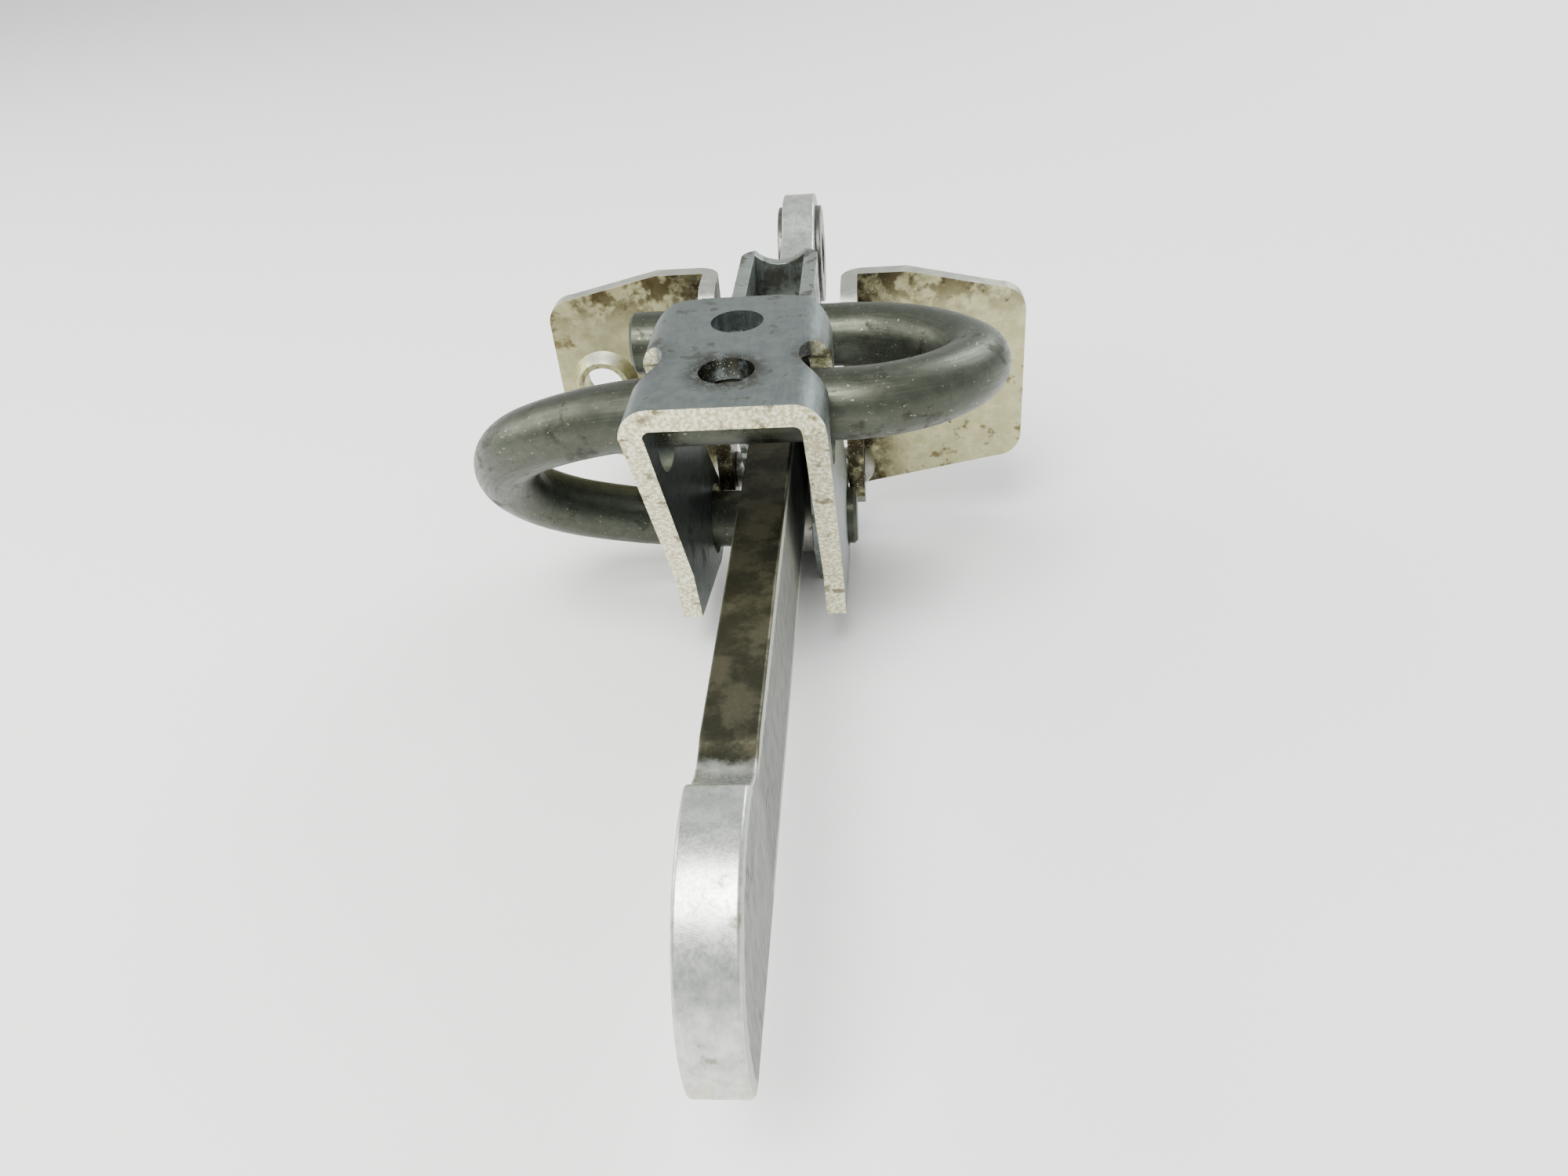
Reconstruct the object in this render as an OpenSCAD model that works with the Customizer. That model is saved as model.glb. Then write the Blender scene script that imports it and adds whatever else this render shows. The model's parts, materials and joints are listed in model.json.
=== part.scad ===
// Torsion-bar hold-open check: a flat arm on edge slides through a two-winged throat and is gripped
// between two rollers on an S-shaped spring bar. A sheet cage straddles the spring.
// X runs across, along the pins. Y runs along the arm, away from its stop head. Z is up.
// The origin is midway between the two wing bolts, on the face that seats against the door or post.

/* [Arm] */
// Thickness of the arm
arm_t = 6; // [5:0.1:7]
// Height of the arm between its rolling edges
arm_h = 19.6; // [16:0.1:24]
// Distance from the seat face to the centre of the stop head
head_y = 104.4; // [86:0.1:126]
// Radius of the stop head
head_r = 16.6; // [15:0.1:20]
// How far the stop head rises above the arm's top edge
head_rise = 2.8; // [2:0.1:3.4]
// Radius of the stop head's lower front corner
head_corner_r = 3; // [2:0.1:4]
// Radius of the hold-open seat behind the stop head
seat_r = 7.2; // [7:0.1:9]
// Depth of the hold-open seat
seat_depth = 0.7; // [0.4:0.1:1]
// Height of the middle of the arm below the wing bolts
arm_drop = 2.8; // [0:0.1:6]

/* [Eye] */
// Distance from the seat face to the eye
eye_y = 46.4; // [38:0.1:60]
// Height of the eye above the middle of the arm
eye_rise = 4; // [3:0.1:6]
// Outer radius of the eye
eye_r = 11.2; // [10:0.1:13]
// Radius of the pivot pin's bore in the bushes
pin_r = 4; // [3:0.1:5]
// Wall of the bushes
bush_wall = 1; // [0.8:0.1:1.5]
// Radius of the bush flanges
bush_flange_r = 9; // [7.5:0.1:9.5]
// Thickness of the bush flanges
bush_flange_t = 1; // [0.6:0.1:1.5]

/* [Spring] */
// Radius of the spring bar
bar_r = 4.5; // [3.7:0.1:5.4]
// Distance from the seat face to the middle limb
middle_limb_y = 44.6; // [42:0.1:54]
// Distance from the seat face to the two limbs that grip the arm
grip_y = 16.6; // [15.5:0.1:18]
// Where the right loop starts, to the right of the arm
right_loop_x = 9.9; // [8:0.1:12]
// How far the middle of the bar reaches to the right of the arm
right_reach = 27.8; // [26:0.1:36]
// Radius of the bend at the tip of the right loop
right_tip_r = 6.3; // [6:0.1:9]
// Where the left loop starts, to the left of the arm
left_loop_x = 7.1; // [5:0.1:9]
// How far the middle of the bar reaches to the left of the arm
left_reach = 38.9; // [37:0.1:48]
// Radius of the bend at the tip of the left loop
left_tip_r = 18.1; // [13:0.1:19]
// How far the upper limb's cut end reaches to the left of the arm
stub_x = 21; // [17:0.1:28]
// Chamfer on the cut ends
bar_chamfer = 0.5; // [0.2:0.1:1]

/* [Rollers] */
// Wall of the rollers
roller_wall = 1.15; // [1:0.05:1.4]
// Radial running clearance of the rollers on the bar
roller_fit = 0.05; // [0.02:0.01:0.1]
// Gap between a roller and the arm's edge
roller_gap = 0.05; // [0.03:0.01:0.2]

/* [Cage] */
// Outer width of the cage
cage_w = 24; // [22:0.1:29]
// Length of the cage's top
cage_len = 31.1; // [29:0.1:34]
// Sheet thickness of the cage
cage_t = 2.8; // [2.3:0.1:3.4]
// Inner bend radius of the cage
cage_bend_in = 1; // [0.5:0.1:1.5]
// Radius of the two holes in the cage's top
cage_hole_r = 3.4; // [2:0.1:4.5]
// Distance between the two holes
cage_hole_pitch = 14.1; // [11:0.1:16]
// Distance from the cage's front edge to the first hole
cage_hole_start = 9.3; // [6:0.1:11]
// Radius of the round waist notches in the cage's top
notch_r = 5.6; // [4:0.1:6.5]
// Radius of the round rear corners of the cage's top
cage_corner_r = 6.5; // [3:0.1:7]

/* [Throat] */
// Width between the cheeks of the throat
throat_w = 7.6; // [7.4:0.1:9.2]
// Sheet thickness of the throat
throat_t = 2; // [1.6:0.1:2.4]
// Clearance between the arm's edges and the slot in the web
slot_gap = 1.7; // [0.8:0.1:3]
// Depth of the hollow in the web's top edge
web_hollow = 1.6; // [0.5:0.1:3]

/* [Wings] */
// Thickness of the wings
wing_t = 2.5; // [2:0.1:3]
// Overall width across both wings
wing_span = 74.8; // [72:0.1:92]
// Distance between the two bolt holes
bolt_pitch = 60; // [56:0.5:62]
// Radius of the bolt holes
bolt_hole_r = 3.3; // [2.5:0.1:4]
// Width of the flared rim around the bolt holes
rim_w = 2.1; // [1.5:0.1:2.5]
// Height of the flared rim
rim_h = 2; // [1:0.1:3]

/* [Rivets] */
// Radius of the cross rivets
rivet_r = 2; // [1.5:0.1:2.2]
// Radius of the rivet heads
rivet_head_r = 3; // [3:0.1:3.8]
// Height of the rivet heads
rivet_head_h = 1.7; // [1:0.1:2]
// Outer radius of the spacers
spacer_r = 3; // [3:0.1:3.8]

/* [Hidden] */
$fn = 64;
far = 200;
eps = 0.01;
seam = 0.02;
hole_gap = 0.05;

roller_r = bar_r + roller_fit + roller_wall;
limb_z = arm_h / 2 + roller_gap + roller_r;
roller_side_gap = 0.2;
bush_r = pin_r + bush_wall;

// Heights below are measured from the middle of the arm.
head_clearance = 1.9;
middle_limb_z = arm_h / 2 + head_rise + head_clearance + bar_r;
bar_seat_gap = 0.1;
cage_top_z = middle_limb_z + bar_r + bar_seat_gap + cage_t;
cage_bend_r = cage_bend_in + cage_t;
cage_front_y = -middle_limb_y - 13.9;
cage_rear_y = cage_front_y + cage_len;
leg_slope_top_z = cage_top_z - 3.2;
leg_kink = [cage_front_y + 17.1, -9];
leg_tip = [cage_front_y + 19.4, -limb_z - 2.5];
lobe_wall = 1.8;
seat_y = head_y - 7.8;

upper_grip = [-grip_y, limb_z];
lower_grip = [-grip_y, -limb_z];
middle_limb = [-middle_limb_y, middle_limb_z];

// Each loop is half an oval in a plane tilted about X: a wide arc, the tip and a wide arc.
// The distance between its limbs and its reach settle the wide arcs.
function wide_r(half, reach, tip_r) = (pow(half, 2) + pow(reach - tip_r, 2) - pow(tip_r, 2)) / (2 * (half - tip_r));
right_half = norm(upper_grip - middle_limb) / 2;
right_tilt = atan2(upper_grip[1] - middle_limb[1], upper_grip[0] - middle_limb[0]);
right_wide_r = wide_r(right_half, right_reach - right_loop_x, right_tip_r);
left_half = norm(lower_grip - middle_limb) / 2;
left_tilt = atan2(lower_grip[1] - middle_limb[1], lower_grip[0] - middle_limb[0]);
left_wide_r = wide_r(left_half, left_reach - left_loop_x, left_tip_r);

// The left loop already curves where it crosses the cage's left leg, so the holes there move along its
// tilt by the sag of its wide arc at x.
function sag(x) = left_wide_r - sqrt(pow(left_wide_r, 2) - pow(max(0, x - left_loop_x), 2));
function sagged(limb, x, way) = limb + way * sag(x) * [cos(left_tilt), sin(left_tilt)];

side_gap = 0.2;
cheek_in = throat_w / 2;
cheek_out = cheek_in + throat_t;
cage_left = cage_w / 2 - cage_t - cheek_out - 2 * side_gap;
cage_left_out = cage_left + cage_w / 2;
cage_right_out = cage_w / 2 - cage_left;
left_leg_out = cage_left_out - cage_t - side_gap;
left_leg_in = left_leg_out - wing_t;
right_leg_in = cage_right_out + side_gap;
right_leg_out = right_leg_in + wing_t;
limb_hole_r = bar_r + 0.5;
cage_left_hole_r = bar_r + 1.2;
window_r = bar_r + 2.3;

cheek_top_z = limb_z + limb_hole_r + 2;
cheek_bottom_z = -limb_z - 11;
rivet_y = -wing_t - rivet_head_r - 0.5;
rivet_z = arm_h / 2 + rivet_r + 0.8;
upper_rivet_at = [rivet_y, rivet_z];
lower_rivet_at = [rivet_y, -rivet_z];

// A solid whose side view is drawn in Y and Z, from x0 to x1.
module across(x0, x1) {
    translate([x0, 0, 0]) rotate([90, 0, 90]) linear_extrude(height = x1 - x0) children();
}

// A round bar or hole along X at [y, z], from x0 to x1.
module rod(at, r, x0, x1) {
    translate([x0, at[0], at[1]]) rotate([0, 90, 0]) cylinder(r = r, h = x1 - x0);
}

// Heights are drawn from the middle of the arm and set down by arm_drop.
module set_down() {
    translate([0, 0, -arm_drop]) children();
}

// The stop head: a disc cut off level with the arm's bottom edge, with a round lower front corner.
module head_outline() {
    bottom = -arm_h / 2;
    centre = [-head_y, arm_h / 2 + head_rise - head_r];
    corner_z = bottom + head_corner_r;
    corner = centre + [-sqrt(pow(head_r - head_corner_r, 2) - pow(corner_z - centre[1], 2)), corner_z - centre[1]];
    outward = (corner - centre) / norm(corner - centre);
    difference() {
        intersection() {
            translate(centre) circle(r = head_r, $fn = 128);
            translate([-head_y - far, bottom]) square([far + head_y - seat_y, far]);
        }
        difference() {
            polygon([corner, corner + 2 * head_corner_r * outward, corner + [-far, -far], corner - [0, far]]);
            translate(corner) circle(r = head_corner_r, $fn = 64);
        }
    }
}

// The eye, with a concave neck above and a straight tangent flank below.
module eye_outline() {
    eye = [eye_y, eye_rise];
    neck_r = 12;
    neck = [eye_y - sqrt(pow(eye_r + neck_r, 2) - pow(arm_h / 2 + neck_r - eye_rise, 2)), arm_h / 2 + neck_r];
    heel = [eye_y - 12.4, -arm_h / 2];
    heel_angle = atan2(eye[1] - heel[1], eye[0] - heel[0]) - asin(eye_r / norm(eye - heel));
    translate(eye) circle(r = eye_r, $fn = 96);
    difference() {
        polygon([eye, neck, [neck[0], 0]]);
        translate(neck) circle(r = neck_r, $fn = 96);
    }
    polygon([[neck[0], 0], [heel[0], -arm_h / 2], eye + eye_r * [sin(heel_angle), -cos(heel_angle)], eye]);
    translate([-eps, -arm_h / 2]) square([heel[0] + eps, arm_h / 2 + eps]);
    translate([-eps, -eps]) square([neck[0] + eps, arm_h / 2 + eps]);
}

module arm_outline() {
    difference() {
        union() {
            translate([-seat_y - eps, -arm_h / 2]) square([seat_y + 2 * eps, arm_h]);
            head_outline();
            eye_outline();
        }
        translate([-seat_y, arm_h / 2 - seat_depth + seat_r]) circle(r = seat_r, $fn = 96);
        translate([eye_y, eye_rise]) circle(r = bush_r + hole_gap);
    }
}

module check_arm() {
    color([0.42, 0.42, 0.38]) set_down() across(-arm_t / 2, arm_t / 2) arm_outline();
}

// side is -1 for the left bush and 1 for the right one.
module eye_bush(side) {
    color([0.3, 0.31, 0.29]) set_down() translate([0, eye_y, eye_rise]) rotate([0, 90 * side, 0])
        difference() {
            union() {
                cylinder(r = bush_r, h = arm_t / 2 + bush_flange_t);
                translate([0, 0, arm_t / 2]) cylinder(r = bush_flange_r, h = bush_flange_t);
            }
            translate([0, 0, -1]) cylinder(r = pin_r, h = arm_t + 2 * bush_flange_t + 2);
        }
}

module left_eye_bush() eye_bush(-1);
module right_eye_bush() eye_bush(1);

// An arc of the bar about a centre, in the plane of its loop.
module bar_arc(centre, r, from, to, thickness) {
    translate([centre[0], centre[1], 0]) rotate([0, 0, from])
        rotate_extrude(angle = to - from, $fn = 96) translate([r, 0]) circle(r = thickness, $fn = 48);
}

// A loop from the middle limb to a gripping limb, drawn to the right of x.
// The wide arcs are a hair thicker than the rest, so that the pieces next to them end inside them.
module loop(x, half, reach, tip_r, big_r, tilt) {
    turn = atan2(reach - x - tip_r, big_r - half);
    lap = atan(seam / tip_r);
    translate([0, -middle_limb_y, middle_limb_z]) rotate([tilt, 0, 0]) {
        bar_arc([x, big_r], big_r, -90, turn - 90, bar_r + seam);
        bar_arc([reach - tip_r, half], tip_r, turn - 90 - lap, 90 - turn + lap, bar_r);
        bar_arc([x, 2 * half - big_r], big_r, 90 - turn, 90, bar_r + seam);
    }
}

// A straight limb from x0 to x1 that runs a little way into the loops at its ends.
module limb(at, x0, x1) {
    rod(at, bar_r, x0 - seam, x1 + seam);
}

// The chamfered cut end of a limb at x. side is -1 for an end that faces left.
module cut_end(at, x, side) {
    translate([x - side * bar_chamfer, at[0], at[1]]) rotate([0, 90 * side, 0])
        cylinder(r1 = bar_r, r2 = bar_r - bar_chamfer, h = bar_chamfer);
}

module torsion_spring() {
    lower_end = cage_right_out + 1.5;
    color([0.25, 0.27, 0.24]) set_down() {
        limb(middle_limb, -left_loop_x, right_loop_x);
        loop(right_loop_x, right_half, right_reach, right_tip_r, right_wide_r, right_tilt);
        mirror([1, 0, 0]) loop(left_loop_x, left_half, left_reach, left_tip_r, left_wide_r, left_tilt);
        limb(upper_grip, -stub_x + bar_chamfer, right_loop_x);
        cut_end(upper_grip, -stub_x, -1);
        limb(lower_grip, -left_loop_x, lower_end - bar_chamfer);
        cut_end(lower_grip, lower_end, 1);
    }
}

module roller(at) {
    half = cheek_in - roller_side_gap;
    color([0.36, 0.36, 0.34]) set_down() difference() {
        rod(at, roller_r, -half, half);
        rod(at, bar_r + roller_fit, -half - 1, half + 1);
    }
}

module upper_roller() roller(upper_grip);
module lower_roller() roller(lower_grip);

// The bent sheet seen along Y: a top and two legs with round bends, open below.
module cage_section(bottom_z) {
    difference() {
        bent_top(cage_w / 2, cage_top_z, cage_bend_r, bottom_z);
        bent_top(cage_w / 2 - cage_t, cage_top_z - cage_t, cage_bend_in, bottom_z - 1);
    }
}

module bent_top(half, top, r, bottom) {
    translate([-half, bottom]) square([2 * half, top - r - bottom]);
    translate([-half + r, bottom]) square([2 * (half - r), top - bottom]);
    for (side = [-1, 1]) translate([side * (half - r), top - r]) circle(r = r, $fn = 48);
}

// The cage's legs from the side: a sloping front edge, a lobe around the lower limb and a rear edge
// that keeps clear of the upper gripping limb and of the lower rivet's head and spacers.
module leg_outline() {
    lobe_r = bar_r + 1.3 + lobe_wall;
    rear_y = -grip_y - bar_r - 0.6;
    difference() {
        union() {
            polygon([
                [cage_front_y, cage_top_z + 1], [cage_front_y, leg_slope_top_z], leg_kink, leg_tip,
                lower_grip + lobe_r * [-0.35, -0.93], lower_grip + lobe_r * [0.7, 0.7], [rear_y, 3],
                [rear_y - 5.5, 12], [rear_y - 5.5, cage_top_z + 1]
            ]);
            translate(lower_grip) circle(r = lobe_r);
        }
        translate(lower_rivet_at) circle(r = max(spacer_r, rivet_head_r) + side_gap);
    }
}

module cage() {
    hole_y = cage_front_y + cage_hole_start;
    inner = cage_w / 2 - cage_t;
    corner = cage_w / 2 - cage_corner_r;
    corner_y = cage_rear_y - cage_corner_r;
    left_middle = cage_left_out - cage_t / 2;
    color([0.5, 0.53, 0.52]) set_down() translate([-cage_left, 0, 0]) difference() {
        intersection() {
            rotate([90, 0, 0]) translate([0, 0, -1]) linear_extrude(height = far) cage_section(-60);
            union() {
                across(-cage_w, cage_w) leg_outline();
                translate([-cage_w / 2 - 1, cage_front_y, cage_top_z - cage_bend_r])
                    cube([cage_w + 2, cage_len, cage_bend_r + 1]);
            }
        }
        // round rear corners of the top
        for (side = [-1, 1]) difference() {
            translate([side > 0 ? corner : -corner - far, corner_y, 10]) cube([far, far, far]);
            translate([side * corner, corner_y, 9]) cylinder(r = cage_corner_r, h = far);
        }
        // two holes in the top
        for (step = [0, 1]) translate([0, hole_y + step * cage_hole_pitch, cage_top_z - cage_t - 1])
            cylinder(r = cage_hole_r, h = cage_t + 2);
        // waist notches and windows for the middle limb
        for (side = [-1, 1]) translate([side * (cage_w / 2 + 2), -middle_limb_y - 0.3, middle_limb_z])
            cylinder(r = notch_r, h = far);
        rod(middle_limb - [0, 0.8], window_r, inner - 1, far);
        rod(sagged(middle_limb, left_middle, 1) - [0, 0.8], window_r, -far, 1 - inner);
        // holes for the lower limb
        rod(lower_grip, limb_hole_r, 0, far);
        rod(sagged(lower_grip, left_middle, -1), cage_left_hole_r, -far, 0);
    }
}

module throat_section() {
    bend_r = throat_t + 0.6;
    difference() {
        union() {
            translate([-cheek_out, -far]) square([2 * cheek_out, far - bend_r]);
            translate([-cheek_out + bend_r, -far]) square([2 * (cheek_out - bend_r), far]);
            for (side = [-1, 1]) translate([side * (cheek_out - bend_r), -bend_r]) circle(r = bend_r, $fn = 48);
        }
        translate([-cheek_in, -far - 1]) square([throat_w, far + 1 - throat_t]);
    }
}

module cheek_outline() {
    front_y = cage_rear_y + 0.5;
    low_front_y = -grip_y - limb_hole_r - 3.2;
    difference() {
        polygon([
            [front_y, cheek_top_z], [front_y, 4], [low_front_y, 0], [low_front_y, -limb_z - 1],
            [-grip_y - 2, cheek_bottom_z], [1, cheek_bottom_z], [1, cheek_top_z]
        ]);
        // open notch that the upper limb drops into from the front
        translate(upper_grip) circle(r = limb_hole_r);
        translate([-far - grip_y, limb_z - limb_hole_r]) square([far, 2 * limb_hole_r]);
    }
}

module guide_channel() {
    slot_h = arm_h + 2 * slot_gap;
    hollow_r = (pow(cheek_in, 2) + pow(web_hollow, 2)) / (2 * web_hollow);
    color([0.38, 0.42, 0.41]) set_down() difference() {
        intersection() {
            translate([0, 0, -far / 2]) linear_extrude(height = far) throat_section();
            across(-far, far) cheek_outline();
        }
        // slot in the web for the arm, and the hollow in the web's top edge
        translate([-cheek_in, -throat_t - 1, -slot_h / 2]) cube([throat_w, throat_t + 2, slot_h]);
        translate([0, 1, cheek_top_z - web_hollow + hollow_r]) rotate([90, 0, 0])
            cylinder(r = hollow_r, h = throat_t + 1 + eps, $fn = 96);
        rod(lower_grip, limb_hole_r, -far, far);
        rod(upper_rivet_at, rivet_r + hole_gap, -far, far);
        rod(lower_rivet_at, rivet_r + hole_gap, -far, far);
    }
}

// The wing's plate seen along Y, from its leg's inner face at x = leg_in outwards.
module plate_outline(leg_in, top_z, outer_z, inner_z) {
    edge = wing_span / 2;
    corner_r = 4;
    corner_z = top_z - 7.2;
    polygon([
        [leg_in, inner_z], [edge - corner_r, outer_z], [edge, outer_z + corner_r], [edge, corner_z],
        [edge - corner_r + 1, corner_z + corner_r - 0.2], [leg_in + 10, top_z], [leg_in, top_z]
    ]);
    translate([edge - corner_r, corner_z]) circle(r = corner_r, $fn = 48);
    translate([edge - corner_r, outer_z + corner_r]) circle(r = corner_r, $fn = 48);
}

// The wing's leg from the side: a flange that stays behind the gripping limbs.
module wing_leg_outline(top_z, inner_z) {
    front = -grip_y + bar_r + 1;
    top_r = 4;
    polygon([
        [front, top_z - top_r], [front, inner_z + 3], [front + 3, inner_z], [0, inner_z],
        [0, top_z], [front + top_r, top_z]
    ]);
    translate([front + top_r, top_z - top_r]) circle(r = top_r, $fn = 48);
}

// A wing on the right; the left one is mirrored with its own sizes.
module wing(leg_in, top_z, outer_z, inner_z) {
    bend_r = wing_t + 1;
    hole_x = bolt_pitch / 2;
    difference() {
        union() {
            rotate([90, 0, 0]) linear_extrude(height = wing_t) plate_outline(leg_in, top_z, outer_z, inner_z);
            across(leg_in, leg_in + wing_t) wing_leg_outline(top_z, inner_z);
            translate([hole_x, eps - wing_t, arm_drop]) rotate([90, 0, 0])
                cylinder(r1 = bolt_hole_r + rim_w, r2 = bolt_hole_r + rim_w * 0.4, h = rim_h);
        }
        // round outside of the bend
        difference() {
            translate([leg_in - 1, -bend_r, -far]) cube([1 + bend_r, 1 + bend_r, 2 * far]);
            translate([leg_in + bend_r, -bend_r, -far]) cylinder(r = bend_r, h = 2 * far);
        }
        translate([hole_x, 1, arm_drop]) rotate([90, 0, 0]) cylinder(r = bolt_hole_r, h = wing_t + rim_h + 2);
        rod(upper_rivet_at, rivet_r + hole_gap, 0, far);
        rod(lower_rivet_at, rivet_r + hole_gap, 0, far);
    }
}

module left_wing() {
    color([0.72, 0.71, 0.55]) set_down()
        mirror([1, 0, 0]) wing(left_leg_in, limb_z + 4.7, 5.5 - limb_z, -limb_z - 1);
}

module right_wing() {
    color([0.72, 0.71, 0.55]) set_down() wing(right_leg_in, limb_z + 3.4, 1.8 - limb_z, -limb_z - 3);
}

module cross_rivet(at) {
    head_seat = 0.05;
    dome_r = (pow(rivet_head_r, 2) + pow(rivet_head_h, 2)) / (2 * rivet_head_h);
    color([0.45, 0.46, 0.42]) set_down() {
        rod(at, rivet_r, -left_leg_out - head_seat - eps, right_leg_out + head_seat + eps);
        for (end = [[-left_leg_out - head_seat, -1], [right_leg_out + head_seat, 1]])
            translate([end[0], at[0], at[1]]) rotate([0, 90 * end[1], 0]) intersection() {
                translate([0, 0, rivet_head_h - dome_r]) sphere(r = dome_r, $fn = 64);
                cylinder(r = rivet_head_r + 1, h = rivet_head_h + 1);
            }
    }
}

module upper_rivet() cross_rivet(upper_rivet_at);
module lower_rivet() cross_rivet(lower_rivet_at);

module spacer(at, x0, x1) {
    color([0.55, 0.55, 0.5]) set_down() difference() {
        rod(at, spacer_r, x0, x1);
        rod(at, rivet_r + hole_gap, x0 - 1, x1 + 1);
    }
}

module upper_left_spacer() spacer(upper_rivet_at, -left_leg_in, -cheek_out);
module lower_left_spacer() spacer(lower_rivet_at, -left_leg_in, -cheek_out);
module upper_right_spacer() spacer(upper_rivet_at, cheek_out, right_leg_in);
module lower_right_spacer() spacer(lower_rivet_at, cheek_out, right_leg_in);

check_arm();
left_eye_bush();
right_eye_bush();
cage();
torsion_spring();
upper_roller();
lower_roller();
guide_channel();
left_wing();
right_wing();
upper_rivet();
lower_rivet();
upper_left_spacer();
upper_right_spacer();
lower_left_spacer();
lower_right_spacer();
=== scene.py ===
# %% [markdown]
# # Looks for a torsion-bar hold-open check
# The real object is a used door check: a flat arm on edge that slides through a bent sheet throat with two
# bolted wings, an S-shaped round spring bar that grips the arm, and a sheet cage over the spring.
# The CAD parts arrive finished and in place. This lesson gives them a camera, a studio, rounded edges and
# finishes. Everything is in metres, in the CAD's own frame.

# %% Load the frame
import json
import math

import bmesh
import bpy
import numpy as np
from mathutils import Matrix, Vector


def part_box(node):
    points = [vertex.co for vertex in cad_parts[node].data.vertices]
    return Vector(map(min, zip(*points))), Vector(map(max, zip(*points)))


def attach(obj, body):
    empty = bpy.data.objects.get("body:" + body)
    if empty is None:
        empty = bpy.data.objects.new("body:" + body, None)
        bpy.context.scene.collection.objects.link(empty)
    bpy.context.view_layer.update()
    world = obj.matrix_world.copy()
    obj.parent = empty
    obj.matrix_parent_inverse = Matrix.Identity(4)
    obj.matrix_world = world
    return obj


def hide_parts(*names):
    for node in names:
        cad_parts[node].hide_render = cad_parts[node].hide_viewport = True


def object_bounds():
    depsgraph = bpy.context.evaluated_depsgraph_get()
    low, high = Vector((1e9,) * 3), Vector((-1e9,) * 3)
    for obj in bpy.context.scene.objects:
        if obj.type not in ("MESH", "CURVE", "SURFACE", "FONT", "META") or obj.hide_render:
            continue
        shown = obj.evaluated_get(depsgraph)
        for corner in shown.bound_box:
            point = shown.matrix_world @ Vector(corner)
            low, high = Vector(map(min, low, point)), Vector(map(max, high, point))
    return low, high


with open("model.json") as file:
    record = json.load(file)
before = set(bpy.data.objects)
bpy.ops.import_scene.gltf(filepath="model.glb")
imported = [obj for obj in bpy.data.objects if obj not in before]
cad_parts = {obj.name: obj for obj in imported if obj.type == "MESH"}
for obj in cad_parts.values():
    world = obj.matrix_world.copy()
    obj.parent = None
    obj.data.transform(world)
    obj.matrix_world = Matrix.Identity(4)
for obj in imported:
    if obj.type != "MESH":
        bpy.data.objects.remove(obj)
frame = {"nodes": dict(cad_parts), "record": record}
box_at_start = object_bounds()
MM = 0.001
body_of_node = {
    node: body for body, nodes in frame["record"]["behaviour"]["bodies"].items() for node in nodes
}
print("overall size in mm", [round((b - a) / MM, 1) for a, b in zip(*box_at_start)])

# %% [markdown]
# ## The camera
# The object was seen from just above and in front of the stop head, close enough for a strong perspective.
# A camera can be aimed with a constraint or with three angles. A matrix made from its own right, up and
# back directions keeps the small roll exact, so the camera is built that way.

# %% Place the camera
CAMERA_AT = Vector((16.2, -175.3, 84.5)) * MM
pitch = math.radians(36.23)
yaw = math.radians(6.70)
roll = math.radians(5.47)

level_right = Vector((math.cos(yaw), math.sin(yaw), 0))
forward = Vector((
    -math.sin(yaw) * math.cos(pitch), math.cos(yaw) * math.cos(pitch), -math.sin(pitch)
))
level_up = level_right.cross(forward)
right = math.cos(roll) * level_right - math.sin(roll) * level_up
up = math.sin(roll) * level_right + math.cos(roll) * level_up

camera_data = bpy.data.cameras.new("studio_camera")
camera_data.lens = 27
camera_data.sensor_width = 36
camera_data.clip_start = 0.01
camera = bpy.data.objects.new("studio_camera", camera_data)
bpy.context.scene.collection.objects.link(camera)
turned = Matrix((right, up, -forward)).transposed()
camera.matrix_world = Matrix.Translation(CAMERA_AT) @ turned.to_4x4()
bpy.context.scene.camera = camera
print("camera looks along", [round(v, 3) for v in forward])

# %% [markdown]
# ## Small helpers for shader trees
# A finish is a tree of shader nodes. Short helpers keep such a tree readable: they add a node, do one step
# of arithmetic, make a soft mask, blend two colours, draw cloudy noise and mark what is near a point.
# Patterns are laid out in millimetres, because that is how a machinist would describe a scratch.

# %% Shader helpers
def add(tree, kind, sockets=None, **settings):
    """Adds a shader node; each socket is set to a value or linked to another node's output."""
    made = tree.nodes.new(kind)
    for key, value in settings.items():
        setattr(made, key, value)
    for key, value in (sockets or {}).items():
        if isinstance(value, bpy.types.NodeSocket):
            tree.links.new(value, made.inputs[key])
        else:
            made.inputs[key].default_value = value
    return made


def maths(tree, operation, *values):
    """One arithmetic step on up to three values."""
    return add(tree, "ShaderNodeMath", dict(enumerate(values)), operation=operation).outputs[0]


def mask(tree, value, low, high):
    """0 below low, 1 above high and a smooth step between. With low above high it runs the other way."""
    sockets = {"Value": value, "From Min": low, "From Max": high}
    return add(tree, "ShaderNodeMapRange", sockets, interpolation_type="SMOOTHSTEP").outputs[0]


def blended(tree, share, a, b):
    """Colour a where share is 0 and colour b where it is 1."""
    return add(tree, "ShaderNodeMix", {0: share, 6: a, 7: b}, data_type="RGBA").outputs[2]


def cloud(tree, place, size, stretch=(1, 1, 1), detail=5.0):
    """Cloudy noise from 0 to 1 with lumps about size mm across, longer along a stretched axis."""
    squeeze = [1 / (size * s) for s in stretch]
    vector = add(tree, "ShaderNodeVectorMath", {0: place, 1: squeeze}, operation="MULTIPLY").outputs[0]
    sockets = {"Vector": vector, "Scale": 1.0, "Detail": detail, "Roughness": 0.6}
    return add(tree, "ShaderNodeTexNoise", sockets).outputs[0]


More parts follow.
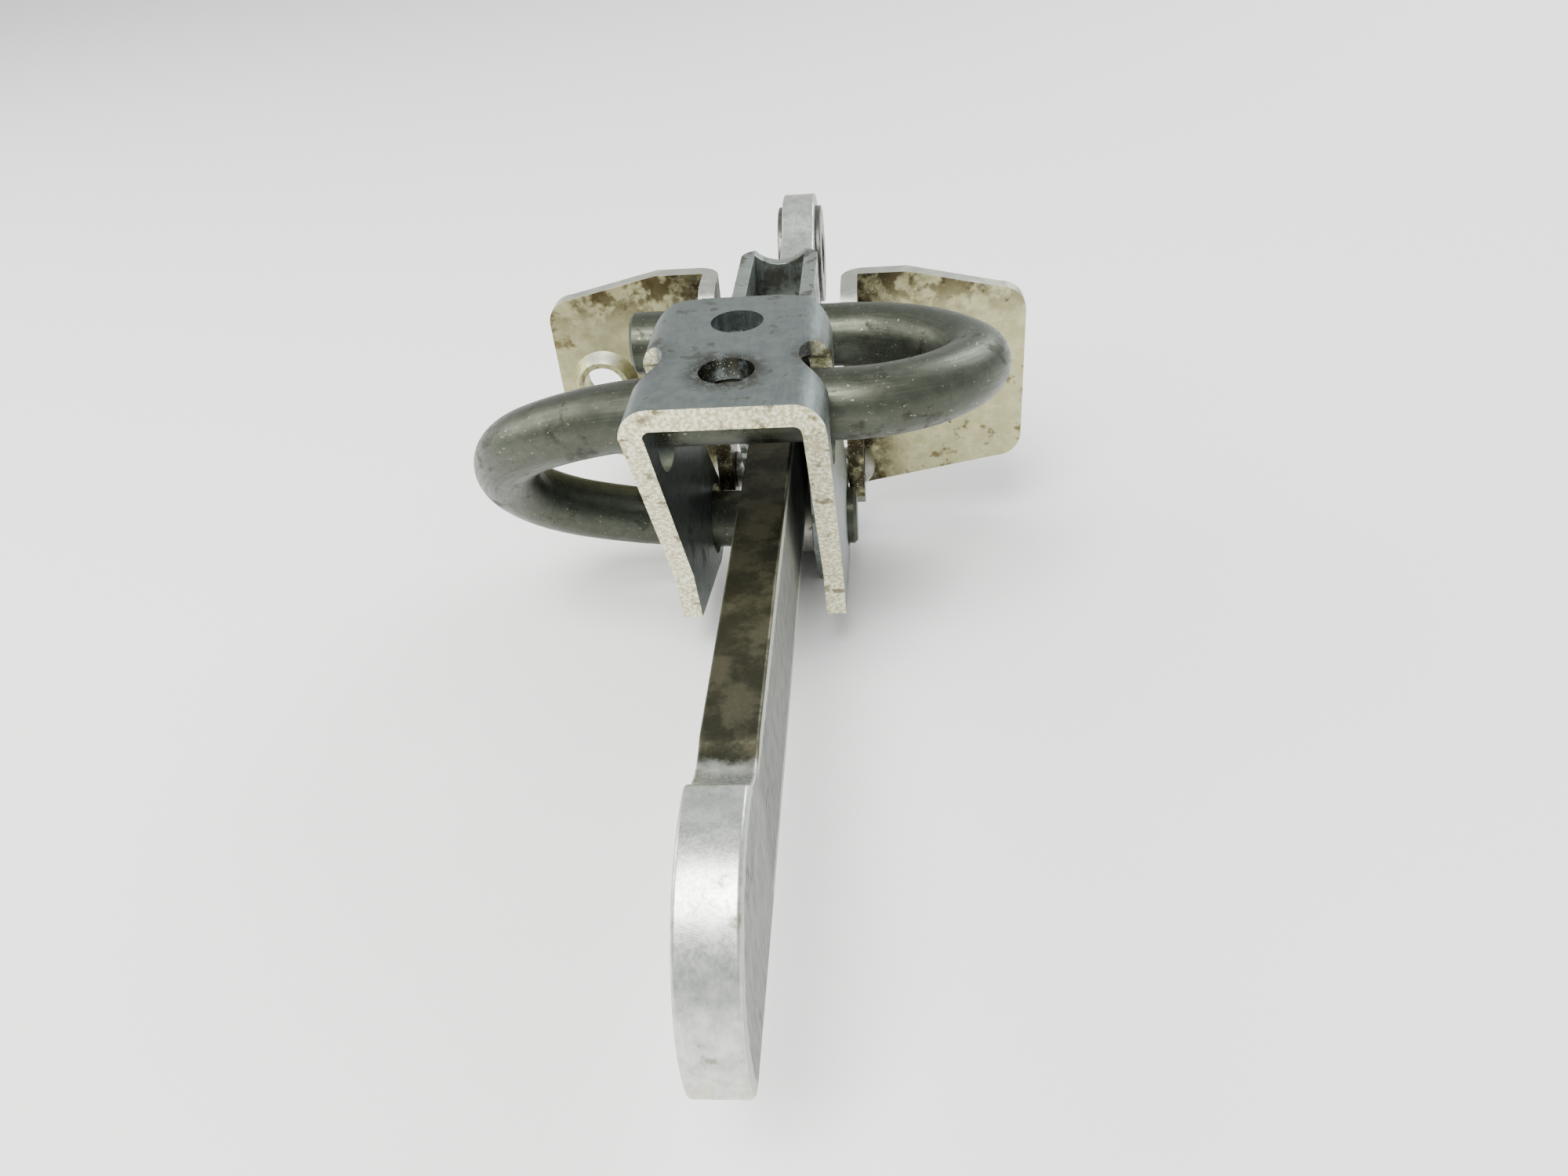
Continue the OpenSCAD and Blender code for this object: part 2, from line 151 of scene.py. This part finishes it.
def near(tree, place, point, reach):
    """1 close to a point in mm, fading to 0 at the distance reach."""
    sockets = {0: place, 1: point}
    away = add(tree, "ShaderNodeVectorMath", sockets, operation="DISTANCE").outputs["Value"]
    return mask(tree, away, reach, reach * 0.45)


def rgb(red, green, blue):
    return (red, green, blue, 1.0)


print("helpers ready")

# %% [markdown]
# ## Worn metal
# Used steel is never one colour. It has broad clouds of stain, finer mottling, long streaks from rolling or
# rubbing, and a fine grain that breaks up its highlights. One recipe builds these layers, and each finish
# gives its own colours and its own streak direction. The colour, the roughness and the bump all come from
# the same layers, so that a stain is also duller and a scratch also catches the light.

# %% The worn metal recipe
GREASE = rgb(0.018, 0.016, 0.010)


def worn_metal(name, clean, worn, stain, streak, rough, stained, grip=0.12, marks=None, attribute=None):
    """A metal with clouds of stain, mottling, streaks along one axis and grain.

    stained is the share that the stains cover, from 0 to 1, and rough the shine of the clean metal.
    marks adds marks of the piece's own. attribute names a vector to use in place of Object coordinates.
    """
    material = bpy.data.materials.new(name)
    material.use_nodes = True
    tree = material.node_tree
    shader = tree.nodes["Principled BSDF"]
    if attribute:
        source = add(tree, "ShaderNodeAttribute", attribute_name=attribute).outputs["Vector"]
    else:
        source = add(tree, "ShaderNodeTexCoord").outputs["Object"]
    scale = {0: source, "Scale": 1 / MM}
    place = add(tree, "ShaderNodeVectorMath", scale, operation="SCALE").outputs[0]

    clouds = cloud(tree, place, 7.0)
    mottle = cloud(tree, place, 1.6)
    streaks = cloud(tree, place, 0.35, stretch=streak, detail=3.0)
    grain = cloud(tree, place, 0.12, detail=2.0)

    edge = 0.62 - 0.24 * stained
    speckled = maths(tree, "MULTIPLY_ADD", mottle, 0.45, maths(tree, "MULTIPLY", clouds, 0.55))
    stains = mask(tree, speckled, edge, edge + 0.09)
    colour = blended(tree, mask(tree, mottle, 0.35, 0.65), clean, worn)
    colour = blended(tree, maths(tree, "MULTIPLY", mask(tree, streaks, 0.5, 0.7), 0.35), colour, worn)
    colour = blended(tree, maths(tree, "MULTIPLY", stains, 0.85), colour, stain)
    dull = maths(tree, "MULTIPLY_ADD", stains, 0.18, rough)
    dull = maths(tree, "MULTIPLY_ADD", mask(tree, streaks, 0.4, 0.7), 0.14, dull)
    height = maths(tree, "MULTIPLY_ADD", streaks, 0.5, maths(tree, "MULTIPLY", grain, 0.5))
    if marks:
        colour, dull, height = marks(tree, place, colour, dull, height)

    bump = {"Height": height, "Strength": grip, "Distance": 0.2 * MM}
    tree.links.new(add(tree, "ShaderNodeBump", bump).outputs[0], shader.inputs["Normal"])
    tree.links.new(colour, shader.inputs["Base Color"])
    tree.links.new(dull, shader.inputs["Roughness"])
    shader.inputs["Metallic"].default_value = 0.9
    return material


def greased(tree, place, colour, dull, height, share):
    """Dark wet grease with tiny bright filings in it, wherever share is above 0."""
    ragged = maths(tree, "MULTIPLY", share, mask(tree, cloud(tree, place, 1.8), 0.30, 0.52))
    filings = mask(tree, cloud(tree, place, 0.22, detail=1.0), 0.69, 0.74)
    wet = blended(tree, filings, GREASE, rgb(0.85, 0.80, 0.62))
    return (
        blended(tree, ragged, colour, wet),
        maths(tree, "MULTIPLY_ADD", ragged, -0.08, dull),
        maths(tree, "MULTIPLY_ADD", maths(tree, "MULTIPLY", ragged, mask(tree, filings, 0, 1)), 1.5, height),
    )


def facing(tree, axis, sign):
    """How far the surface faces along an axis, from -1 to 1, in the piece's own frame."""
    normal = add(tree, "ShaderNodeTexCoord").outputs["Normal"]
    part = add(tree, "ShaderNodeSeparateXYZ", {0: normal}).outputs[axis]
    return maths(tree, "MULTIPLY", part, sign)


print("recipe ready")

# %% [markdown]
# ## Marks of each piece's own
# The cage and the wings were blanked from plated sheet, so their cut edges are raw, pale and sparkling.
# Grease has gathered where the bar passes through the cage and round the near hole. The arm is dark and
# oily where it runs through the throat, and ground bright on its stop head. A face's direction tells a cut
# edge from sheet, and a position along the arm tells its oily part from its ground part.

# %% Marks on the cage, the wings, the arm and the bar
cage_low, cage_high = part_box("cage")
arm_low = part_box("check_arm")[0]
cage_front = cage_low.y / MM
cage_top = cage_high.z / MM
cage_middle = (cage_low.x + cage_high.x) / 2 / MM
HEAD_R = 16.6
KNEE_BEHIND_HEAD = 7.8
DROP = 2.8  # height of the wing bolts above the middle of the arm
HEAD_CENTRE = (0.0, arm_low.y / MM + HEAD_R, -6.8)
KNEE_Y = HEAD_CENTRE[1] + KNEE_BEHIND_HEAD
FIRST_HOLE, SECOND_HOLE = 9.3, 23.4  # from the cage's front edge


def cage_marks(tree, place, colour, dull, height):
    """Grease by the near hole and the notches, inside the cage, and raw cut edges that face forward."""
    near_hole = near(tree, place, (cage_middle, cage_front + FIRST_HOLE, cage_top), 6.5)
    sides = [
        near(tree, place, (cage_middle + side * 13, cage_front + 14, cage_top - 6), 10)
        for side in (-1, 1)
    ]
    inside = facing(tree, 2, -1)
    walls = [
        near(tree, place, (cage_middle, cage_front + start, cage_top - 1.4), 7.5)
        for start in (FIRST_HOLE, SECOND_HOLE)
    ]
    in_a_hole = maths(tree, "MAXIMUM", *walls)
    share = maths(tree, "MAXIMUM", near_hole, maths(tree, "MAXIMUM", *sides))
    share = maths(tree, "MAXIMUM", share, mask(tree, inside, 0.5, 0.8))
    colour, dull, height = greased(tree, place, colour, dull, height, share)
    cut = maths(tree, "SUBTRACT", mask(tree, facing(tree, 1, -1), 0.55, 0.8), in_a_hole)
    cut = maths(tree, "MAXIMUM", cut, 0.0)
    chips = mask(tree, cloud(tree, place, 0.5, detail=3.0), 0.40, 0.62)
    raw = blended(tree, chips, rgb(0.48, 0.45, 0.27), rgb(0.88, 0.86, 0.66))
    dirt = maths(tree, "MULTIPLY", mask(tree, cloud(tree, place, 2.4), 0.56, 0.66), 0.8)
    raw = blended(tree, dirt, raw, rgb(0.12, 0.09, 0.04))
    return (
        blended(tree, cut, colour, raw),
        maths(tree, "MULTIPLY_ADD", cut, 0.06, dull),
        maths(tree, "MULTIPLY_ADD", maths(tree, "MULTIPLY", cut, chips), 1.2, height),
    )


def wing_marks(tree, place, colour, dull, height):
    """Darker brown along the top and towards the throat, a dark layer with bright specks towards the throat,
    and a pale cut edge on top.
    """
    parts = add(tree, "ShaderNodeSeparateXYZ", {0: place}).outputs
    # Darker brown towards the top and towards the throat, broken up by cloudy noise.
    high = mask(tree, parts[2], 6, 16)
    inner = mask(tree, maths(tree, "ABSOLUTE", parts[0]), 20, 11)
    darker_brown_share = maths(tree, "MULTIPLY", maths(tree, "MAXIMUM", high, inner), 0.9)
    darker_brown_share = maths(tree, "MULTIPLY", darker_brown_share, mask(tree, cloud(tree, place, 3.0), 0.42, 0.56))
    colour = blended(tree, darker_brown_share, colour, rgb(0.055, 0.038, 0.014))
    # Towards the throat the dark layer with bright specks from greased() is laid on as well.
    colour, dull, height = greased(tree, place, colour, dull, height, maths(tree, "MULTIPLY", inner, 0.8))
    cut = maths(tree, "MULTIPLY", mask(tree, facing(tree, 2, 1), 0.6, 0.85), 0.7)
    return blended(tree, cut, colour, rgb(0.50, 0.52, 0.48)), dull, height


def arm_marks(tree, place, colour, dull, height):
    """A ground bright head, a dark oily run behind it, a pale strip along the edge and dark flat sides."""
    parts = add(tree, "ShaderNodeSeparateXYZ", {0: place}).outputs
    ragged = maths(tree, "MULTIPLY_ADD", cloud(tree, place, 1.2), 2.4, parts[1])
    oily = maths(tree, "MULTIPLY", mask(tree, ragged, KNEE_Y - 0.3, KNEE_Y + 1.8), mask(tree, ragged, 32, 20))
    oil = blended(tree, mask(tree, cloud(tree, place, 4.0), 0.4, 0.6), rgb(0.035, 0.035, 0.022),
                  rgb(0.085, 0.080, 0.052))
    low_on_head = mask(tree, parts[2], -2, -14)
    yellowed = maths(tree, "MULTIPLY", low_on_head, mask(tree, cloud(tree, place, 2.2), 0.4, 0.6))
    colour = blended(tree, maths(tree, "MULTIPLY", yellowed, 0.7), colour, rgb(0.42, 0.37, 0.20))
    colour = blended(tree, oily, colour, oil)

    sockets = {0: place, 1: HEAD_CENTRE}
    offset = add(tree, "ShaderNodeVectorMath", sockets, operation="SUBTRACT").outputs[0]
    flat = add(tree, "ShaderNodeVectorMath", {0: offset, 1: (0, 1, 1)}, operation="MULTIPLY").outputs[0]
    radius = add(tree, "ShaderNodeVectorMath", {0: flat}, operation="LENGTH").outputs["Value"]
    jagged = maths(tree, "MULTIPLY", cloud(tree, place, 0.7), 1.6)
    by_head = maths(tree, "ADD", radius, jagged)
    by_edge = maths(tree, "ADD", maths(tree, "ABSOLUTE", maths(tree, "ADD", parts[2], DROP)), jagged)
    on_head = mask(tree, parts[1], KNEE_Y, KNEE_Y - 2)
    round_strip = maths(tree, "MULTIPLY", on_head, mask(tree, by_head, 15.4, 15.9))
    straight_strip = maths(tree, "SUBTRACT", mask(tree, by_edge, 8.6, 9.1), on_head)
    strip = maths(tree, "MAXIMUM", round_strip, straight_strip)
    side = mask(tree, maths(tree, "ABSOLUTE", facing(tree, 0, 1)), 0.8, 0.95)
    scaled = blended(tree, mask(tree, cloud(tree, place, 2.6), 0.25, 0.75), rgb(0.066, 0.070, 0.061),
                     rgb(0.118, 0.123, 0.107))
    flank = blended(tree, strip, scaled, rgb(0.34, 0.35, 0.31))
    shine = maths(tree, "MULTIPLY_ADD", oily, 0.10, dull)
    return blended(tree, side, colour, flank), maths(tree, "MULTIPLY_ADD", side, 0.12, shine), height


def bar_marks(tree, place, colour, dull, height):
    """Bright diagonal scratches, few and thin, and filings stuck in the grease."""
    sockets = {"Vector": place, "Rotation": (0, 0, 0.7)}
    slanted = add(tree, "ShaderNodeMapping", sockets).outputs[0]
    scratches = mask(tree, cloud(tree, slanted, 0.45, stretch=(14, 1, 1), detail=2.0), 0.67, 0.72)
    colour = blended(tree, maths(tree, "MULTIPLY", scratches, 0.5), colour, rgb(0.36, 0.38, 0.30))
    patches = maths(tree, "MULTIPLY", mask(tree, cloud(tree, place, 9.0), 0.57, 0.68), 0.7)
    return greased(tree, place, colour, dull, height, patches)


print("head centre in mm", [round(v, 1) for v in HEAD_CENTRE], "knee at", round(KNEE_Y, 1))

# %% [markdown]
# ## One finish for each material slot
# The record names a slot for each kind of surface. Plated sheet is pale and yellowish, the spring bar has a
# dark heat-treated skin, and the small turned pieces are plain steel. Streaks run upright on the arm and
# the throat, lengthwise on the cage and the spring bar, and across the wings.

# %% Make the finishes
FINISHES = {
    "arm_steel": worn_metal(
        "arm_steel", rgb(0.56, 0.58, 0.55), rgb(0.40, 0.42, 0.40), rgb(0.20, 0.18, 0.12),
        (1, 1, 9), 0.27, 0.25, marks=arm_marks),
    "bush_steel": worn_metal(
        "bush_steel", rgb(0.070, 0.075, 0.070), rgb(0.13, 0.135, 0.125), rgb(0.030, 0.028, 0.020),
        (1, 6, 6), 0.34, 0.45),
    "cage_zinc": worn_metal(
        "cage_zinc", rgb(0.125, 0.150, 0.150), rgb(0.165, 0.190, 0.185), rgb(0.065, 0.068, 0.055),
        (1, 9, 1), 0.33, 0.30, marks=cage_marks),
    "spring_steel": worn_metal(
        "spring_steel", rgb(0.056, 0.061, 0.047), rgb(0.074, 0.080, 0.061), rgb(0.038, 0.040, 0.029),
        (16, 1, 1), 0.36, 0.35, marks=bar_marks, attribute="bar_place"),
    "roller_steel": worn_metal(
        "roller_steel", rgb(0.20, 0.20, 0.18), rgb(0.28, 0.28, 0.25), rgb(0.06, 0.05, 0.03),
        (1, 9, 9), 0.28, 0.45),
    "throat_zinc": worn_metal(
        "throat_zinc", rgb(0.21, 0.24, 0.23), rgb(0.29, 0.32, 0.30), rgb(0.045, 0.042, 0.030),
        (1, 1, 9), 0.36, 0.55),
    "wing_zinc": worn_metal(
        "wing_zinc", rgb(0.37, 0.35, 0.19), rgb(0.47, 0.45, 0.27), rgb(0.13, 0.10, 0.040),
        (9, 1, 1), 0.37, 0.38, marks=wing_marks),
    "rivet_steel": worn_metal(
        "rivet_steel", rgb(0.22, 0.22, 0.19), rgb(0.33, 0.33, 0.29), rgb(0.06, 0.05, 0.03),
        (1, 3, 3), 0.33, 0.45),
    "spacer_steel": worn_metal(
        "spacer_steel", rgb(0.30, 0.30, 0.27), rgb(0.40, 0.40, 0.36), rgb(0.07, 0.06, 0.035),
        (1, 9, 9), 0.32, 0.45),
}
print(len(FINISHES), "finishes")

# %% [markdown]
# ## Rounded copies of the sheet and bar pieces
# A CAD model has knife-sharp edges, and real edges never are: a tumbled blank or a worn arm shows a thin
# bright line along each edge. A CAD node's own mesh is never touched, so a copy is merged, its flat faces
# are joined and its sharp edges get a small round bevel. The copy then stands for the node.

# %% Round the edges
ROUNDED = {
    "check_arm": ("arm_steel", 0.45),
    "cage": ("cage_zinc", 0.35),
    "guide_channel": ("throat_zinc", 0.25),
    "left_wing": ("wing_zinc", 0.30),
    "right_wing": ("wing_zinc", 0.30),
    "left_eye_bush": ("bush_steel", 0.15),
    "right_eye_bush": ("bush_steel", 0.15),
    "upper_roller": ("roller_steel", 0.15),
    "lower_roller": ("roller_steel", 0.15),
    "upper_rivet": ("rivet_steel", 0.10),
    "lower_rivet": ("rivet_steel", 0.10),
    "upper_left_spacer": ("spacer_steel", 0.15),
    "upper_right_spacer": ("spacer_steel", 0.15),
    "lower_left_spacer": ("spacer_steel", 0.15),
    "lower_right_spacer": ("spacer_steel", 0.15),
}


def finished(piece, node, slot):
    """Gives the piece its finish and lets it stand for its CAD node."""
    piece.data.materials.clear()
    piece.data.materials.append(FINISHES[slot])
    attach(piece, body_of_node[node])
    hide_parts(node)


def rounded_copy(node, width_mm):
    """A merged copy of a CAD node whose edges sharper than 35 degrees have a round bevel."""
    mesh = frame["nodes"][node].data.copy()
    work = bmesh.new()
    work.from_mesh(mesh)
    bmesh.ops.remove_doubles(work, verts=work.verts, dist=0.002 * MM)
    bmesh.ops.dissolve_limit(
        work, angle_limit=math.radians(0.5), verts=work.verts, edges=work.edges)
    sharp = [e for e in work.edges if e.is_manifold and e.calc_face_angle() > math.radians(35)]
    bmesh.ops.bevel(
        work, geom=sharp, offset=width_mm * MM, offset_type="OFFSET", segments=3, profile=0.5,
        affect="EDGES", clamp_overlap=True)
    work.to_mesh(mesh)
    work.free()
    mesh.name = node + "_rounded"
    mesh.shade_smooth()
    mesh.set_sharp_from_angle(angle=math.radians(32))
    piece = bpy.data.objects.new(node + "_rounded", mesh)
    bpy.context.scene.collection.objects.link(piece)
    weighted = piece.modifiers.new("flat_faces_stay_flat", "WEIGHTED_NORMAL")
    weighted.keep_sharp = True
    return piece


for node_name, (slot_name, width) in ROUNDED.items():
    copy = rounded_copy(node_name, width)
    finished(copy, node_name, slot_name)
    print(copy.name, len(copy.data.polygons), "faces")

# %% [markdown]
# ## The spring bar
# The real spring is one round bar, cold bent into an S: two straight gripping limbs, a middle limb and two
# loops. The CAD bar arrives as a mesh with facets along its bends. Here the bar is a circle carried
# along its centre line, so that its long highlights run unbroken. Each loop is a wide arc, a tight tip arc
# and a wide arc again, in a plane tilted about X. The bar also carries an attribute, its place on the same
# bar pulled straight, so that scuffs follow the bends and no seam shows.

# %% The centre line of the bar
BAR_R = 4.5
LIMB_Z = 15.55
UPPER_GRIP = np.array([-16.6, LIMB_Z - DROP])
LOWER_GRIP = np.array([-16.6, -LIMB_Z - DROP])
MIDDLE_LIMB = np.array([-44.6, 19.0 - DROP])
STUB_X = -21.0
LOWER_END_X = 10.5


def arc(centre, radius, start, end, count):
    """Points centre + radius * (cos a, sin a) as a runs from start to end, in degrees."""
    angles = np.radians(np.linspace(start, end, count))
    return np.array(centre) + radius * np.stack([np.cos(angles), np.sin(angles)], axis=1)


def loop_line(side, grip, start_x, reach, tip_r):
    """A loop's centre line from the middle limb to a grip, as a wide arc, a tip arc and a wide arc.

    The wide radius is (half^2 + (reach - start - tip)^2 - tip^2) / (2 (half - tip)), which makes the arcs
    meet without a kink. A point at (x, v) in the loop's plane lies at v along the line between the limbs.
    """
    across = grip - MIDDLE_LIMB
    half = np.linalg.norm(across) / 2
    run = reach - start_x - tip_r
    wide = (half ** 2 + run ** 2 - tip_r ** 2) / (2 * (half - tip_r))
    turn = math.degrees(math.atan2(run, wide - half))
    flat = np.concatenate([
        arc((start_x, wide), wide, -90, turn - 90, 48),
        arc((reach - tip_r, half), tip_r, turn - 90, 90 - turn, 72)[1:],
        arc((start_x, 2 * half - wide), wide, 90 - turn, 90, 48)[1:],
    ])
    yz = MIDDLE_LIMB + flat[:, 1:] * across / (2 * half)
    return np.concatenate([side * flat[:, :1], yz], axis=1)


right_loop = loop_line(1, UPPER_GRIP, 9.9, 27.8, 6.3)
left_loop = loop_line(-1, LOWER_GRIP, 7.1, 38.9, 18.1)


def straight(x0, x1, grip, count):
    """Evenly spaced points along X from x0 to x1 at a limb's y and z."""
    x = np.linspace(x0, x1, count)[:, None]
    return np.concatenate([x, np.tile(grip, (count, 1))], axis=1)


centre_line = np.concatenate([
    straight(STUB_X, 9.9, UPPER_GRIP, 24)[:-1],
    right_loop[::-1],
    straight(9.9, -7.1, MIDDLE_LIMB, 16)[1:-1],
    left_loop,
    straight(-7.1, LOWER_END_X, LOWER_GRIP, 16)[1:],
])
step = np.linalg.norm(np.diff(centre_line, axis=0), axis=1)
along = np.concatenate([[0.0], np.cumsum(step)])
print("bar length in mm", round(along[-1], 1), "from", len(centre_line), "points")

# %% Carry a circle along the centre line
def bar_mesh(name, line, distance, around=72):
    """A tube: line + r (cos t A + sin t B), where A and B are square to the line's direction.

    A is the direction crossed with a vector that no part of the line runs along, so the tube never twists
    suddenly. At each cut end r steps down over a small chamfer and then to a flat face.
    """
    direction = np.gradient(line, axis=0)
    direction /= np.linalg.norm(direction, axis=1)[:, None]
    side_on = np.array([0.0, 0.50, 0.87])
    a = np.cross(direction, side_on)
    a /= np.linalg.norm(a, axis=1)[:, None]
    b = np.cross(a, direction)
    ends = np.minimum(distance, distance[-1] - distance)
    radius = BAR_R - np.clip(0.5 - ends, 0, 0.5)
    t = np.linspace(0, 2 * np.pi, around, endpoint=False)
    circle = np.cos(t)[None, :, None] * a[:, None, :] + np.sin(t)[None, :, None] * b[:, None, :]
    tube = line[:, None, :] + radius[:, None, None] * circle
    count = len(line)
    vertices = np.concatenate([tube.reshape(-1, 3), line[:1], line[-1:]]) * MM
    i, j = np.meshgrid(np.arange(count - 1), np.arange(around), indexing="ij")
    following = (j + 1) % around
    quads = np.stack([
        i * around + j, i * around + following, (i + 1) * around + following, (i + 1) * around + j
    ], axis=-1).reshape(-1, 4)
    ring = np.arange(around)
    first = np.stack([np.full(around, count * around), (ring + 1) % around, ring], axis=1)
    last_ring = (count - 1) * around
    last = np.stack([
        np.full(around, count * around + 1), last_ring + ring, last_ring + (ring + 1) % around
    ], axis=1)
    mesh = bpy.data.meshes.new(name)
    mesh.from_pydata(vertices.tolist(), [], quads.tolist() + first.tolist() + last.tolist())
    unrolled = np.stack([
        np.repeat(distance, around),
        np.tile(np.cos(t), count) * BAR_R,
        np.tile(np.sin(t), count) * BAR_R,
    ], axis=1)
    unrolled = np.concatenate([unrolled, [[distance[0], 0, 0]], [[distance[-1], 0, 0]]]) * MM
    attribute = mesh.attributes.new("bar_place", "FLOAT_VECTOR", "POINT")
    attribute.data.foreach_set("vector", unrolled.astype(np.float32).ravel())
    return mesh


# Two extra points by each end carry the chamfer.
chamfer_at = np.array([0.25, 0.5])
wanted = np.sort(np.concatenate([along, chamfer_at, along[-1] - chamfer_at]))
fine_line = np.stack([np.interp(wanted, along, centre_line[:, k]) for k in range(3)], axis=1)
bar = bar_mesh("torsion_spring_bar", fine_line, wanted)

work = bmesh.new()
work.from_mesh(bar)
bmesh.ops.recalc_face_normals(work, faces=work.faces)
work.to_mesh(bar)
work.free()
bar.shade_smooth()
bar.set_sharp_from_angle(angle=math.radians(40))
spring = bpy.data.objects.new("torsion_spring_bar", bar)
bpy.context.scene.collection.objects.link(spring)
finished(spring, "torsion_spring", "spring_steel")
print("spring bar", len(bar.polygons), "faces")

# %% [markdown]
# ## The studio
# A pale floor just under the object, soft panels and an even pale surround show metal well: a metal mostly
# mirrors what is round it, so the panels are what draws its highlights. A high panel in front lights the
# ground head, and a low warm one from the left keeps the sides from going black.

# %% Floor, lights and surround
floor_mesh = bpy.data.meshes.new("studio_floor")
half_floor = 3.0
floor_z = box_at_start[0].z - 0.2 * MM
corners = [(-half_floor, -half_floor), (half_floor, -half_floor), (half_floor, half_floor),
           (-half_floor, half_floor)]
floor_mesh.from_pydata([(x, y, floor_z) for x, y in corners], [], [(0, 1, 2, 3)])
floor = bpy.data.objects.new("studio_floor", floor_mesh)
bpy.context.scene.collection.objects.link(floor)
paint = bpy.data.materials.new("studio_floor")
paint.use_nodes = True
paint.node_tree.nodes["Principled BSDF"].inputs["Base Color"].default_value = rgb(0.9, 0.9, 0.9)
paint.node_tree.nodes["Principled BSDF"].inputs["Roughness"].default_value = 0.8
floor_mesh.materials.append(paint)

PANELS = {
    "high_front": ((-0.10, -0.35, 0.55), 0.30, 7.0, (1.0, 1.0, 0.97)),
    "left_side": ((-0.60, 0.00, 0.30), 0.40, 3.5, (1.0, 1.0, 0.95)),
    "back_right": ((0.45, 0.45, 0.45), 0.35, 4.5, (0.96, 1.0, 1.0)),
}
aim = Vector((0, -50, 0)) * MM
for name, (at, size, power, tint) in PANELS.items():
    panel_data = bpy.data.lights.new(name, "AREA")
    panel_data.size = size
    panel_data.energy = power
    panel_data.color = tint
    panel = bpy.data.objects.new(name, panel_data)
    panel.location = at
    panel.rotation_euler = (aim - Vector(at)).to_track_quat("-Z", "Y").to_euler()
    bpy.context.scene.collection.objects.link(panel)

world = bpy.data.worlds.new("pale_surround")
world.use_nodes = True
world.node_tree.nodes["Background"].inputs["Color"].default_value = rgb(0.95, 0.97, 0.95)
world.node_tree.nodes["Background"].inputs["Strength"].default_value = 1.0
bpy.context.scene.world = world
print(len(PANELS), "panels, floor at", round(floor_z / MM, 1), "mm")
